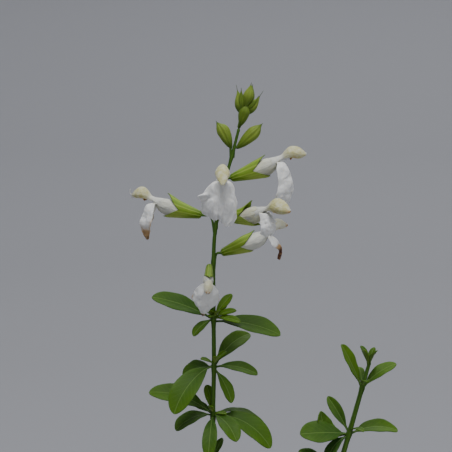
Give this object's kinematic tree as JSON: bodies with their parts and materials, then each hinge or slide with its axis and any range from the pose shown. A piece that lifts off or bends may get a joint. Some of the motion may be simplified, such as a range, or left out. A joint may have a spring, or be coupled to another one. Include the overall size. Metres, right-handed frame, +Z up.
{
  "type": "potted white sage plant",
  "caption": "White-flowered garden sage with upright leafy shoots, growing in soil in a plain round clay pot that stands on its flat base.",
  "frame": {"origin": "centre of the pot's flat base", "axes": "+Z up along the pot and the tall shoot; +X to the right, the side that the second tall shoot leans to; -Y to the side that the front flowers face"},
  "size_m": [0.1342, 0.124, 0.3512],
  "materials": {
    "terracotta": "matt unglazed clay",
    "potting_soil": "crumbly, matt",
    "stem_and_leaf": "soft satin with fine hairs",
    "calyx": "satin, ribbed and finely hairy",
    "petal": "velvety, slightly translucent"
  },
  "bodies": {
    "root": {"pot": "terracotta", "soil": "potting_soil", "shoot_tall": "stem_and_leaf", "shoot_right": "stem_and_leaf", "shoot_left": "stem_and_leaf", "shoot_front": "stem_and_leaf", "shoot_back": "stem_and_leaf", "shoot_low_right": "stem_and_leaf", "calyx_low_front": "calyx", "corolla_low_front": "petal", "calyx_low_right": "calyx", "corolla_low_right": "petal", "calyx_mid_left": "calyx", "corolla_mid_left": "petal", "calyx_mid_right": "calyx", "corolla_mid_right": "petal", "calyx_top_front": "calyx", "corolla_top_front": "petal", "calyx_top_right": "calyx", "corolla_top_right": "petal", "bud_left": "calyx", "bud_right": "calyx", "bud_cluster": "calyx"}
  },
  "joints": []
}
